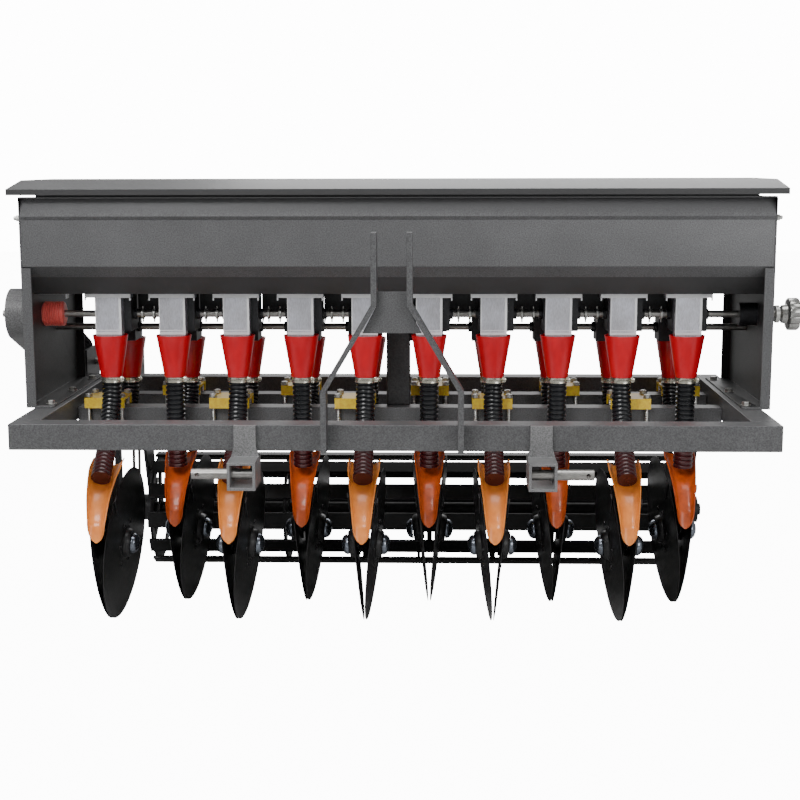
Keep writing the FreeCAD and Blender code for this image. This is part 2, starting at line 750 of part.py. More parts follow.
def disc():
    """A coulter disc with its hub, turning about local Z; outwards is +Z."""
    plate = rod("disc_radius", "disc_thick", (0, 0, "-disc_thick / 2"), "z")
    outer_hub = cone("hub_radius", "hub_radius * 0.7", 16, (0, 0, "disc_thick / 2"))
    inner_hub = rod("hub_radius * 0.8", 6, (0, 0, "-disc_thick / 2 - 6"), "z")
    bore = rod("axle_radius + running_gap", 40, (0, 0, -26), "z")
    return cut(fuse(plate, outer_hub, inner_hub), bore)


def scraper(side):
    """A flat blade lying just outside a disc near its front edge, in the disc's own frame."""
    toward = disc_rotation(side).inverted().multVec(
        FreeCAD.Vector(0, -math.cos(math.radians(48)), math.sin(math.radians(48))))
    turn = math.degrees(math.atan2(toward.y, toward.x))
    item = bind(doc.addObject("Part::Box", "Blade"), Length=56, Width=14, Height=3)
    item.Placement = FreeCAD.Placement(FreeCAD.Vector(), FreeCAD.Rotation(FreeCAD.Vector(0, 0, 1), turn))
    lift = "disc_thick / 2 + 0.8"
    return locate(item, (f"128 * {toward.x}", f"128 * {toward.y}", lift))


def build_openers():
    casting_masters = (casting("front_disc_ahead"), casting("rear_disc_ahead"))
    boot_master = boot()
    disc_master = disc()
    scraper_master = {side: scraper(side) for side in (-1, 1)}
    centre = [(row_x(row), back(disc_y(row)), disc_height()) for row in range(ROWS)]
    sub_part("opener_castings", *[
        copy(casting_masters[row % 2], place) for row, place in enumerate(centre)])
    sub_part("opener_boots", *[copy(boot_master, place) for place in centre])
    scrapers = []
    for row, (x, y, z) in enumerate(centre):
        for side, word in ((-1, "left"), (1, "right")):
            place = (f"{x} + {side} * disc_offset", y, z)
            sub_part(f"disc_{row + 1:02d}_{word}", copy(disc_master, place, disc_rotation(side)))
            scrapers.append(copy(scraper_master[side], place, disc_rotation(side)))
    sub_part("disc_scrapers", *scrapers)

    tubes = []
    for row in range(ROWS):
        low = "drop_tube_top - drop_tube_tall"
        outer_radius = "hose_radius + 5"
        place = (row_x(row), back("drop_tube_y"), low)
        socket = rod(outer_radius, "drop_tube_tall", place, "z")
        tab_half = 9
        if row % 2:
            tab_start = "drop_tube_y"
            tab_long = f"{toolbar_y(row)} - shank_thick - drop_tube_y"
        else:
            tab_start = toolbar_y(row)
            tab_long = f"drop_tube_y - ({toolbar_y(row)})"
        tab = box((2 * tab_half, tab_long, 5), (f"{row_x(row)} - {tab_half}", back(tab_start), "drop_tube_top - 6"))
        hollow = rod("hose_radius + 1.5", "drop_tube_tall", place, "z")
        tubes.append(cut(fuse(socket, tab), hollow))
    sub_part("drop_tubes", *tubes)


# ---------------------------------------------------------------- roller and drive

def build_roller():
    axis = (back("roller_y"), "roller_radius")
    axle_left = "inner_chain_x - 22"
    axle = rod("roller_axle_radius", f"roller_right + 45 - ({axle_left})", (axle_left, *axis))
    sprocket = rod("sprocket_radius - 0.3", "chain_wide", ("inner_chain_x - chain_wide / 2", *axis))
    sub_part("roller_axle", fuse(axle, sprocket))

    ring_out = "roller_radius - roller_bar_thick"
    ring_thick = 6
    rings = []
    for index in range(RINGS):
        share = index / (RINGS - 1)
        x = f"-roller_left + 4 + {share} * (roller_left + roller_right - 8 - {ring_thick})"
        rim = ring(ring_out, f"{ring_out} - 26", ring_thick, (x, *axis))
        hub = ring(30, "roller_axle_radius", ring_thick, (x, *axis))
        spokes = []
        for arm in range(3):
            spoke = doc.addObject("Part::Box", "Spoke")
            bind(spoke, Length=ring_thick, Width=24, Height=f"{ring_out} - 40")
            turn = FreeCAD.Rotation(FreeCAD.Vector(1, 0, 0), 120 * arm)
            corner = turn.multVec(FreeCAD.Vector(0, -12, 22))
            spokes.append(locate(spoke, (x, f"{axis[0]} + {corner.y}", f"{axis[1]} + {corner.z}"), turn))
        rings.append(fuse(rim, hub, *spokes))
    sub_part("roller_rings", *rings)

    bars = []
    for index in range(BARS):
        turn = FreeCAD.Rotation(FreeCAD.Vector(1, 0, 0), 360 * index / BARS)
        middle = turn.multVec(FreeCAD.Vector(0, 0, 1))
        across = turn.multVec(FreeCAD.Vector(0, 1, 0))
        bar = doc.addObject("Part::Box", "Bar")
        bind(bar, Length="roller_left + roller_right", Width="roller_bar_wide", Height="roller_bar_thick")
        place_y = f"{axis[0]} + ({ring_out}) * {middle.y} - roller_bar_wide / 2 * {across.y}"
        place_z = f"{axis[1]} + ({ring_out}) * {middle.z} - roller_bar_wide / 2 * {across.z}"
        bars.append(locate(bar, ("-roller_left", place_y, place_z), turn))
    sub_part("roller_bars", *bars)

    arm_thick = 8
    top = "beam_top - beam_size"
    foot = [
        ("frame_back - 125", top), ("frame_back", top), ("roller_y + 34", "roller_radius + 10"),
        ("roller_y + 22", "roller_radius - 32"), ("roller_y - 22", "roller_radius - 32"),
        ("roller_y - 34", "roller_radius + 10"),
    ]
    bolt_hole = "roller_axle_radius + 1"
    arms = []
    bearings = []
    bearing_long = 20
    for left, bearing_x in (
            (f"-roller_left - 7 - {arm_thick}", f"-roller_left - 7 - {arm_thick} - {bearing_long}"),
            ("roller_right + 8", f"roller_right + 8 + {arm_thick}")):
        arm = prism(foot, "x", (left, "beam_y", 0), arm_thick)
        arms.append(cut(arm, rod(bolt_hole, arm_thick, (left, *axis))))
        bearings.append(ring(34, "roller_axle_radius + running_gap", bearing_long, (bearing_x, *axis)))
    sub_part("roller_arms", *arms)

    plate_low = "beam_top - beam_size"
    plate_tall = 120
    for x, y in (("-beam_long / 2 - 8", "frame_back - 45"), ("inner_chain_x + 10", "frame_back")):
        plate = box((8, f"jackshaft_y + 40 - ({y})", plate_tall), (x, back(y), plate_low))
        bore = rod("jackshaft_radius + running_gap", 8, (x, back("jackshaft_y"), "jackshaft_z"))
        bearings.append(cut(plate, bore))
    sub_part("drive_bearings", *bearings)


def build_drive():
    jack = (back("jackshaft_y"), "jackshaft_z")
    shaft = rod("jackshaft_radius", "inner_chain_x + 24 - outer_chain_x + 20", ("outer_chain_x - 20", *jack))
    wheels = [
        rod("sprocket_radius - 0.3", "chain_wide", (f"{x} - chain_wide / 2", *jack))
        for x in ("inner_chain_x", "outer_chain_x")]
    sub_part("jackshaft", fuse(shaft, *wheels))

    outer_x = "outer_chain_x - chain_wide / 2"
    outer_loop = cut(
        stadium("sprocket_radius + chain_tall", 0, outer_x, "chain_wide"),
        stadium("sprocket_radius + chain_tall", "chain_tall", outer_x, "chain_wide"))
    inner_x = "inner_chain_x - chain_wide / 2"
    run = "jackshaft_z - roller_radius"

    def inner_slab(radius):
        low = (inner_x, back("roller_y"), "roller_radius")
        high = (inner_x, back("jackshaft_y"), "jackshaft_z")
        lean = value("roller_y - jackshaft_y")
        climb = value(run)
        tilt = math.degrees(math.atan2(lean, climb))
        middle = bind(doc.addObject("Part::Box", "Block"),
                      Length="chain_wide", Width=f"2 * ({radius})", Height=math.hypot(lean, climb))
        side = math.radians(tilt)
        locate(middle, (low[0], f"{low[1]} - ({radius}) * {math.cos(side)}",
                        f"{low[2]} - ({radius}) * {math.sin(side)}"),
               FreeCAD.Rotation(FreeCAD.Vector(1, 0, 0), tilt))
        return fuse(rod(radius, "chain_wide", low), rod(radius, "chain_wide", high), middle)

    inner_loop = cut(inner_slab("sprocket_radius + chain_tall"), inner_slab("sprocket_radius"))
    sub_part("drive_chains", outer_loop, inner_loop)

    wall = 2.5
    cover_x = "-cover_out"
    deep = "cover_out - plate_out"
    body = stadium("cover_radius", 0, cover_x, deep)
    hollow = stadium("cover_radius", wall, f"{cover_x} + {wall}", deep)
    end_hole = rod("shaft_radius + 1.5", 40, (f"{cover_x} - 20", back("front_shaft_y"), "front_shaft_z"))
    sub_part("chain_cover", cut(body, hollow, end_hole))


def build_bolts():
    head = 8
    bolts = []
    for side in (-1, 1):
        for y in (240, 433, 626):
            place = (f"{side} * (plate_out - plate_foot + 14)", back(y), "beam_top + plate_thick")
            bolts.append(rod(8, head, place, "z"))
    for x in ("-roller_left - 7", "roller_right + 8"):
        for shift, z in ((-18, 250), (4, 215)):
            bolts.append(rod(9, head, (f"{x} - {head}" if x.startswith("r") else x, back(f"roller_y + {shift}"), z)))
    sub_part("frame_bolts", *bolts)


def check_and_write():
    doc.recompute()
    for item in doc.Objects:
        if "Invalid" in item.State or "Error" in item.State:
            raise RuntimeError(f"{item.Name} ({item.Label}) did not compute: {item.State}")
    os.makedirs("parts", exist_ok=True)
    for item in parts:
        shape = item.Shape
        if shape.isNull() or not shape.isValid() or not shape.Solids:
            raise RuntimeError(f"{item.Label} has no valid solid")
        shape.exportStep(f"parts/{item.Label}.step")
    whole = Part.makeCompound([item.Shape for item in parts]).BoundBox
    print(len(parts), "sub-parts", whole)


build_frame()
build_hitch()
build_end_plates()
build_hopper()
build_lid()
build_metering()
build_shafts()
build_cups()
build_hoses()
build_shanks()
build_openers()
build_roller()
build_drive()
build_bolts()
check_and_write()
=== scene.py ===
"""Looks of the ten-row seed drill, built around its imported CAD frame. Metres, row frame."""
import json
import math

import bmesh
import bpy
from mathutils import Matrix, Vector


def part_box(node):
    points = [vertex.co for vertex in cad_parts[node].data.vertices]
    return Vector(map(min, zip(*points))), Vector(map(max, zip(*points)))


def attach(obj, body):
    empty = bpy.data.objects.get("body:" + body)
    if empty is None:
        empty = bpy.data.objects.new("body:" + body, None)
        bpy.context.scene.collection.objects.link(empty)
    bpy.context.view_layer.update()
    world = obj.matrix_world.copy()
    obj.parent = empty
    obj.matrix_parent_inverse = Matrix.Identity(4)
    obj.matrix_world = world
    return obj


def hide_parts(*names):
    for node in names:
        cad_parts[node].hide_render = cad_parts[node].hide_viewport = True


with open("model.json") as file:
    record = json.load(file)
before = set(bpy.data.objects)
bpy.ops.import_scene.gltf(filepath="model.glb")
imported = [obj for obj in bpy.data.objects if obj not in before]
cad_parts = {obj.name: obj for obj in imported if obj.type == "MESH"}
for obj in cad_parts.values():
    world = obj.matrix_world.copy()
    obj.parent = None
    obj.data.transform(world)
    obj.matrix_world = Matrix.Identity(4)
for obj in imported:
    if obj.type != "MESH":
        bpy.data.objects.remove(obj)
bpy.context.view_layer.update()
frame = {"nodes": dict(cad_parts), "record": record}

FACE = -0.4225                      # the front beam's front face
ROWS = 10
PITCH = 0.145
ROW_X = [PITCH * (row - 4.5) for row in range(ROWS)]
WALL = math.radians(32)             # edges sharper than this stay crisp
METER_SHAFT = (0.368, 0.698)        # the front metering shaft: behind the face, and height


def at(x, behind, z):
    """A point at a distance behind the front beam's face."""
    return Vector((x, FACE + behind, z))


# ---------------------------------------------------------------- materials

def shader(name):
    material = bpy.data.materials.new(name)
    material.use_nodes = True
    tree = material.node_tree
    return material, tree, tree.nodes["Principled BSDF"]


def add(tree, kind, **settings):
    node = tree.nodes.new(kind)
    for key, setting in settings.items():
        if hasattr(node, key):
            setattr(node, key, setting)
        else:
            node.inputs[key].default_value = setting
    return node


def noise(tree, scale, detail=3.0, stretch=None):
    """Noise in the object's own metres; scale is waves per metre."""
    coordinates = add(tree, "ShaderNodeTexCoord")
    source = coordinates.outputs["Object"]
    if stretch:
        mapping = add(tree, "ShaderNodeMapping")
        mapping.inputs["Scale"].default_value = stretch
        tree.links.new(source, mapping.inputs["Vector"])
        source = mapping.outputs["Vector"]
    texture = add(tree, "ShaderNodeTexNoise", Scale=scale, Detail=detail, Roughness=0.6)
    tree.links.new(source, texture.inputs["Vector"])
    return texture.outputs["Fac"]


def ramp(tree, source, stops):
    node = add(tree, "ShaderNodeValToRGB")
    elements = node.color_ramp.elements
    while len(elements) < len(stops):
        elements.new(0.5)
    for element, (position, colour) in zip(elements, stops):
        element.position = position
        element.color = (*colour, 1)
    tree.links.new(source, node.inputs["Fac"])
    return node.outputs["Color"]


def multiply(tree, first, second, share=1.0):
    node = add(tree, "ShaderNodeMix", data_type="RGBA", blend_type="MULTIPLY")
    node.inputs["Factor"].default_value = share
    tree.links.new(first, node.inputs[6])
    tree.links.new(second, node.inputs[7])
    return node.outputs[2]


def bump(tree, source, strength, depth, bsdf):
    node = add(tree, "ShaderNodeBump", Strength=strength, Distance=depth)
    tree.links.new(source, node.inputs["Height"])
    tree.links.new(node.outputs["Normal"], bsdf.inputs["Normal"])


def roughness(tree, source, low, high, bsdf):
    node = add(tree, "ShaderNodeMapRange")
    node.inputs["To Min"].default_value = low
    node.inputs["To Max"].default_value = high
    tree.links.new(source, node.inputs["Value"])
    tree.links.new(node.outputs["Result"], bsdf.inputs["Roughness"])


def shade(colour, factor):
    return tuple(min(1.0, part * factor) for part in colour)


def paint(name, colour, grain=250, contrast=0.3, rough=(0.35, 0.6), pits=0.25, metallic=0.0, coat=0.0):
    """Paint with fine speckle, broad dirt variation and a slightly uneven surface."""
    material, tree, bsdf = shader(name)
    fine = noise(tree, grain, 2.0)
    speckle = ramp(tree, fine, [(0.34, shade(colour, 1 - contrast)), (0.66, shade(colour, 1 + contrast))])
    broad = noise(tree, 7, 4.0)
    dirt = ramp(tree, broad, [(0.3, (0.82, 0.82, 0.82)), (0.7, (1, 1, 1))])
    tree.links.new(multiply(tree, speckle, dirt), bsdf.inputs["Base Color"])
    roughness(tree, fine, *rough, bsdf)
    bump(tree, fine, pits, 0.0006, bsdf)
    bsdf.inputs["Metallic"].default_value = metallic
    bsdf.inputs["Coat Weight"].default_value = coat
    return material


def metal(name, colour, rough=(0.2, 0.4), scratches=(1, 1, 14), grain=120, dark=0.72):
    """Bare or plated metal with brushed streaks and duller patches."""
    material, tree, bsdf = shader(name)
    streak = noise(tree, grain, 4.0, scratches)
    patch = noise(tree, 22, 3.0)
    colours = ramp(tree, streak, [(0.3, shade(colour, dark)), (0.7, colour)])
    dull = ramp(tree, patch, [(0.35, (0.8, 0.79, 0.77)), (0.65, (1, 1, 1))])
    tree.links.new(multiply(tree, colours, dull), bsdf.inputs["Base Color"])
    roughness(tree, streak, *rough, bsdf)
    bump(tree, streak, 0.12, 0.0003, bsdf)
    bsdf.inputs["Metallic"].default_value = 0.9
    return material


def moulded(name, colour, rough=(0.22, 0.4), mottled=0.16):
    """Injection-moulded plastic with faint flow marks and a soft sheen."""
    material, tree, bsdf = shader(name)
    flow = noise(tree, 26, 3.0, (1, 1, 0.35))
    fine = noise(tree, 420, 2.0)
    colours = ramp(tree, flow, [(0.3, shade(colour, 1 - mottled)), (0.72, shade(colour, 1 + mottled))])
    tree.links.new(colours, bsdf.inputs["Base Color"])
    roughness(tree, flow, *rough, bsdf)
    bump(tree, fine, 0.1, 0.0003, bsdf)
    bsdf.inputs["Coat Weight"].default_value = 0.25
    bsdf.inputs["Coat Roughness"].default_value = 0.18
    return material


def hammered(name, colour, contrast=0.28, rough=(0.34, 0.56), pits=0.35, metallic=0.25):
    """The grey hammered paint of the frame, the hopper and the chain cover."""
    return paint(name, colour, grain=380, contrast=contrast, rough=rough, pits=pits, metallic=metallic)


GREY = (0.118, 0.119, 0.122)
grey = hammered("hammered_grey", GREY, rough=(0.32, 0.55))
grey_light = hammered("hammered_grey_lid", (0.135, 0.135, 0.138), contrast=0.34, rough=(0.3, 0.55), pits=0.4)
shell_grey = hammered("hammered_grey_shell", shade(GREY, 1.18), contrast=0.26)
# The hitch brackets: the hammered grey made lighter, as painted sheen.
hitch_grey_painted_sheen = hammered("hammered_grey_hitch_painted_sheen", (0.23, 0.23, 0.233), contrast=0.3, rough=(0.3, 0.52), metallic=0.3)
plate_grey = hammered("hammered_grey_ends", GREY)
black = paint("black_paint", (0.016, 0.0165, 0.019), grain=180, contrast=0.35, rough=(0.3, 0.5), pits=0.3)
post_black = paint("post_paint", (0.035, 0.035, 0.036), grain=220, contrast=0.4, rough=(0.4, 0.6), pits=0.4)
cage_black = paint("cage_paint", (0.007, 0.007, 0.0078), grain=140, contrast=0.4, rough=(0.35, 0.55), pits=0.2)
cap_steel = metal("dust_cap", (0.34, 0.38, 0.45), rough=(0.14, 0.26), scratches=(1, 1, 1), dark=0.6)
disc_black = paint("disc_paint", (0.018, 0.018, 0.0185), grain=90, contrast=0.4, rough=(0.26, 0.44), pits=0.15)
orange = paint("orange_paint", (1.0, 0.29, 0.05), grain=60, contrast=0.12, rough=(0.28, 0.42), pits=0.1,
               coat=0.3)
# The rear rank's boots: the boot orange made darker, for painted shade and dust.
rear_boot_orange_shaded_dusty = paint("rear_orange_painted_shade_and_dust", (0.62, 0.095, 0.012), grain=60, contrast=0.16, rough=(0.3, 0.44),
                    pits=0.1, coat=0.3)
yellow = paint("yellow_paint", (1.0, 0.62, 0.04), grain=160, contrast=0.16, rough=(0.3, 0.5), pits=0.2,
               coat=0.2)
chute_steel = metal("chute_steel", (0.86, 0.87, 0.95), rough=(0.3, 0.46), scratches=(6, 6, 1))
# Near-white and not metallic: the chutes' zinc edges and flanges, with their highlight painted in.
zinc_painted_highlight = paint("chute_zinc_painted_highlight", (0.95, 0.95, 0.97), grain=120, contrast=0.04, rough=(0.28, 0.4), pits=0.05,
                     coat=0.4)
zinc = metal("zinc_plate", (0.8, 0.81, 0.78), rough=(0.2, 0.42))
knob_zinc = metal("knob_zinc", (0.62, 0.62, 0.6), rough=(0.16, 0.34), dark=0.55)
shaft_steel = metal("shaft_steel", (0.55, 0.54, 0.52), rough=(0.25, 0.5), scratches=(1, 9, 9), dark=0.5)
band_steel = metal("band_steel", (0.9, 0.87, 0.74), rough=(0.16, 0.32), scratches=(1, 1, 22))
chain_steel = metal("chain_steel", (0.16, 0.15, 0.14), rough=(0.3, 0.55), dark=0.5)
red = moulded("red_plastic", (0.68, 0.004, 0.014))
red_cap = moulded("red_cap_plastic", (1.0, 0.15, 0.13), rough=(0.35, 0.5))
hose_rubber = moulded("hose_rubber", (0.009, 0.010, 0.012), rough=(0.22, 0.36), mottled=0.3)
cover_grey = hammered("cover_paint", (0.14, 0.14, 0.142), contrast=0.4, rough=(0.35, 0.6), pits=0.4,
                      metallic=0.0)


def calculate(tree, operation, first, second=None):
    """A Math node on a socket and, for two-sided operations, a second socket or a number."""
    node = add(tree, "ShaderNodeMath", operation=operation)
    tree.links.new(first, node.inputs[0])
    if isinstance(second, bpy.types.NodeSocket):
        tree.links.new(second, node.inputs[1])
    elif second is not None:
        node.inputs[1].default_value = second
    return node.outputs["Value"]


def mix_colour_or_painted_shade(material, colour, share_of):
    """Mixes a second colour into a material's own, by a share of the object's own X, Y and Z."""
    tree = material.node_tree
    bsdf = tree.nodes["Principled BSDF"]
    clean = bsdf.inputs["Base Color"].links[0].from_socket
    split = add(tree, "ShaderNodeSeparateXYZ")
    tree.links.new(add(tree, "ShaderNodeTexCoord").outputs["Object"], split.inputs["Vector"])
    mix = add(tree, "ShaderNodeMix", data_type="RGBA")
    tree.links.new(share_of(tree, split.outputs), mix.inputs["Factor"])
    tree.links.new(clean, mix.inputs[6])
    mix.inputs[7].default_value = (*colour, 1)
    tree.links.new(mix.outputs[2], bsdf.inputs["Base Color"])


def colour_or_painted_shade_by_height(material, colour, full, clear):
    """Mixes in the second colour wholly at one height and not at all at the other, whichever is the higher; it
    gives the hoses their maroon ends and paints shade on the hopper.
    """
    def share_of(tree, axes):
        node = add(tree, "ShaderNodeMapRange")
        node.inputs["From Min"].default_value = clear
        node.inputs["From Max"].default_value = full
        tree.links.new(axes["Z"], node.inputs["Value"])
        return node.outputs["Result"]
    mix_colour_or_painted_shade(material, colour, share_of)


def painted_shade_inside(material, colour, half_width, depth):
    """Paints shade on the faces that lie between two sides and further back than a depth."""
    def share_of(tree, axes):
        within = calculate(tree, "LESS_THAN", calculate(tree, "ABSOLUTE", axes["X"]), half_width)
        past = calculate(tree, "GREATER_THAN", axes["Y"], depth)
        return calculate(tree, "MULTIPLY", within, past)
    mix_colour_or_painted_shade(material, colour, share_of)


# The hoses' lower ends are maroon. The other stains are a darker tone of the same paint, which follows
# where the photograph is in shadow; it is not dirt or a second paint on the machine.
PLATE_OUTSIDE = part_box("end_plates")[1].x
PLATE_SKIN = 0.002                      # keeps the painted shade off the end plates' outer faces
HOPPER_FRONT = FACE + 0.216             # and off their front edges
colour_or_painted_shade_by_height(hose_rubber, (0.055, 0.006, 0.007), full=0.395, clear=0.43)
colour_or_painted_shade_by_height(shell_grey, shade(GREY, 0.6), full=0.792, clear=0.7925)     # the folded-under slope
colour_or_painted_shade_by_height(shell_grey, shade(GREY, 0.72), full=0.953, clear=0.925)     # the band under the lid
colour_or_painted_shade_by_height(grey_light, shade(GREY, 0.45), full=0.9835, clear=0.9845)   # the lid's turned-down lip
painted_shade_inside(plate_grey, shade(GREY, 0.25), PLATE_OUTSIDE - PLATE_SKIN, HOPPER_FRONT)

NODE_LOOKS = {
    "front_beam": grey, "side_rails": grey, "opener_toolbars": grey, "rear_crossbar": grey,
    "end_plates": plate_grey, "hopper_shell": shell_grey, "hopper_lid": grey_light, "hitch_mast": grey,
    "hitch_brackets": hitch_grey_painted_sheen, "hopper_post": post_black, "metering_housings": black,
    "opener_shanks": black, "opener_castings": black, "disc_scrapers": black, "drop_tubes": black,
    "roller_axle": cage_black, "roller_rings": cage_black, "roller_bars": cage_black, "roller_arms": black,
    "drive_bearings": black, "lid_hinges": zinc, "shaft_bushings": black, "outlet_chutes": chute_steel,
    "hitch_pins": shaft_steel, "clamp_bolts": zinc, "frame_bolts": zinc, "hose_clamps": band_steel,
    "front_meter_shaft": shaft_steel, "rear_meter_shaft": shaft_steel, "jackshaft": shaft_steel,
    "thrust_collar": zinc, "adjuster_knob": zinc, "front_sprocket": chain_steel, "seed_cups": red,
    "shaft_end_cap": red_cap, "seed_hoses": hose_rubber, "opener_boots": orange,
    "saddle_clamps": yellow, "drive_chains": chain_steel, "chain_cover": cover_grey,
}
BODIES = {node: body for body, nodes in frame["record"]["behaviour"]["bodies"].items() for node in nodes}


def dress(item, material):
    item.data.materials.clear()
    item.data.materials.append(material)


for node_name, node_object in frame["nodes"].items():
    dress(node_object, NODE_LOOKS.get(node_name, disc_black))
    node_object.data.shade_smooth()
    node_object.data.set_sharp_from_angle(angle=WALL)


# ---------------------------------------------------------------- mesh helpers

def piece(name, mesh, material, body, replaced=()):
    """A finished piece that rides on a body and stands for the CAD nodes it replaces."""
    if isinstance(mesh, bmesh.types.BMesh):
        bmesh.ops.recalc_face_normals(mesh, faces=mesh.faces)
        data = bpy.data.meshes.new(name)
        mesh.to_mesh(data)
        mesh.free()
    else:
        data = mesh
    item = bpy.data.objects.new(name, data)
    bpy.context.scene.collection.objects.link(item)
    if not data.materials:
        data.materials.append(material)
    data.shade_smooth()
    data.set_sharp_from_angle(angle=WALL)
    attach(item, body)
    if replaced:
        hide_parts(*replaced)
    return item


def bevelled(node, width, segments=2):
    """A copy of a CAD node with its edges rounded off, to catch the light as folded or rolled steel does."""
    source = frame["nodes"][node]
    mesh = bmesh.new()
    mesh.from_mesh(source.data)
    bmesh.ops.remove_doubles(mesh, verts=mesh.verts, dist=1e-5)
    bmesh.ops.dissolve_limit(mesh, angle_limit=math.radians(0.6), verts=mesh.verts, edges=mesh.edges)
    item = piece(f"{node}_finished", mesh, NODE_LOOKS[node], BODIES[node], (node,))
    modifier = item.modifiers.new("rounded", "BEVEL")
    modifier.width = width
    modifier.segments = segments
    modifier.limit_method = "ANGLE"
    modifier.angle_limit = WALL
    modifier.harden_normals = True


def skin(mesh, rings, closed=False):
    """Faces from each ring of vertices to the next, then both ends, or the last ring back to the first."""
    pairs = list(zip(rings, rings[1:])) + ([(rings[-1], rings[0])] if closed else [])
    for low, high in pairs:
        for step in range(len(low)):
            after = (step + 1) % len(low)
            mesh.faces.new((low[step], low[after], high[after], high[step]))
    if not closed:
        mesh.faces.new(rings[0][::-1])
        mesh.faces.new(rings[-1])


def lathe(mesh, profile, place, steps=40, closed=False):
    """Turns (radius, height) points about local Z, then puts the result in place."""
    rings = []
    for radius, height in profile:
        ring = []
        for step in range(steps):
            angle = 2 * math.pi * step / steps
            ring.append(mesh.verts.new(place @ Vector((
                radius * math.cos(angle), radius * math.sin(angle), height))))
        rings.append(ring)
    skin(mesh, rings, closed)


def hexagon(mesh, radius, low, high, place):
    """A hexagon head with its corners turned down."""
    trim = 0.12 * radius
    lathe(mesh, [(radius, low), (radius, high - trim), (radius - trim, high)], place, 6)


def block(mesh, low, high):
    """A plain box between two corners, welded into a larger piece."""
    verts = [mesh.verts.new((x, y, z))
             for x in (low[0], high[0]) for y in (low[1], high[1]) for z in (low[2], high[2])]
    for face in ((0, 1, 3, 2), (4, 6, 7, 5), (0, 4, 5, 1), (2, 3, 7, 6), (0, 2, 6, 4), (1, 5, 7, 3)):
        mesh.faces.new([verts[index] for index in face])


def place_at(point, axis=(0, 0, 1)):
    """Puts local Z on the axis and the origin on the point."""
    return Matrix.Translation(point) @ Vector(axis).to_track_quat("Z", "Y").to_matrix().to_4x4()


# ---------------------------------------------------------------- sheet metal and tubes

ROUNDED = {
    "front_beam": 0.005, "side_rails": 0.005, "opener_toolbars": 0.005, "rear_crossbar": 0.005,
    "hitch_mast": 0.002, "hitch_brackets": 0.002, "end_plates": 0.0012, "hopper_shell": 0.001,
    "hopper_lid": 0.0008, "hopper_post": 0.003, "saddle_clamps": 0.0015, "roller_bars": 0.0015,
    "roller_arms": 0.0015, "opener_castings": 0.003, "opener_shanks": 0.002, "metering_housings": 0.002,
    "chain_cover": 0.006, "outlet_chutes": 0.0006, "roller_rings": 0.0012, "hitch_pins": 0.0015,
    "disc_scrapers": 0.0008, "drop_tubes": 0.001, "seed_cups": 0.0006,
}
for rounded_node, edge in ROUNDED.items():
    bevelled(rounded_node, edge)


# ---------------------------------------------------------------- hoses

HOSE_RADIUS = 0.022
RIB_PITCH = 0.0105
RIB_PROFILE = (0.86, 0.985, 1.0, 0.985)     # shares of the radius, round one rib
HOSE_SIDES = 28


def smooth_route(points):
    """Points along the hose's own smooth line."""
    curve = bpy.data.curves.new("route", "CURVE")
    curve.dimensions = "3D"
    spline = curve.splines.new("NURBS")
    spline.points.add(len(points) - 1)
    for point, place in zip(spline.points, points):
        point.co = (*place, 1)
    spline.order_u = 3
    spline.use_endpoint_u = True
    curve.resolution_u = 24
    holder = bpy.data.objects.new("route", curve)
    line = bpy.data.meshes.new_from_object(holder)
    route = [vertex.co.copy() for vertex in line.vertices]
    bpy.data.objects.remove(holder)
    bpy.data.meshes.remove(line)
    return route


def walk(route, step):
    """Evenly spaced (point, direction) pairs along a polyline."""
    lengths = [0.0]
    for before, after in zip(route, route[1:]):
        lengths.append(lengths[-1] + (after - before).length)
    count = max(2, round(lengths[-1] / step))
    stations = []
    segment = 0
    for index in range(count + 1):
        distance = lengths[-1] * index / count
        while segment < len(route) - 2 and lengths[segment + 1] < distance:
            segment += 1
        run = route[segment + 1] - route[segment]
        share = (distance - lengths[segment]) / max(run.length, 1e-9)
        stations.append((route[segment] + run * share, run.normalized()))
    return stations


def ribbed_hose(mesh, points):
    """A corrugated hose: four rings of vertices for each rib."""
    side = Vector((1, 0, 0))
    rings = []
    for index, (centre, direction) in enumerate(walk(smooth_route(points), RIB_PITCH / len(RIB_PROFILE))):
        up = direction.cross(side).normalized()
        radius = HOSE_RADIUS * RIB_PROFILE[index % len(RIB_PROFILE)]
        angles = [2 * math.pi * step / HOSE_SIDES for step in range(HOSE_SIDES)]
        rings.append([mesh.verts.new(centre + radius * (side * math.cos(angle) + up * math.sin(angle)))
                      for angle in angles])
    skin(mesh, rings)


FRONT_CUP = (0.320, 0.655)          # behind the face, and the height of its top
REAR_CUP = (0.519, 0.626)
CUP_TALL = 0.095
front_low = FRONT_CUP[1] - CUP_TALL
rear_low = REAR_CUP[1] - CUP_TALL
hoses = bmesh.new()
for row, x in enumerate(ROW_X):
    if row % 2:
        front_end = [at(x, 0.320, 0.440), at(x, 0.328, 0.352)]
    else:
        front_end = [at(x, 0.320, 0.462), at(x, 0.178, 0.352)]
    ribbed_hose(hoses, [at(x, FRONT_CUP[0], front_low), *front_end])
    ribbed_hose(hoses, [at(x, REAR_CUP[0], rear_low), at(x, REAR_CUP[0], rear_low - 0.035),
                        at(x, 0.470, 0.430), at(x, 0.470, 0.380)])
piece("seed_hoses_ribbed", hoses, hose_rubber, "frame", ("seed_hoses",))

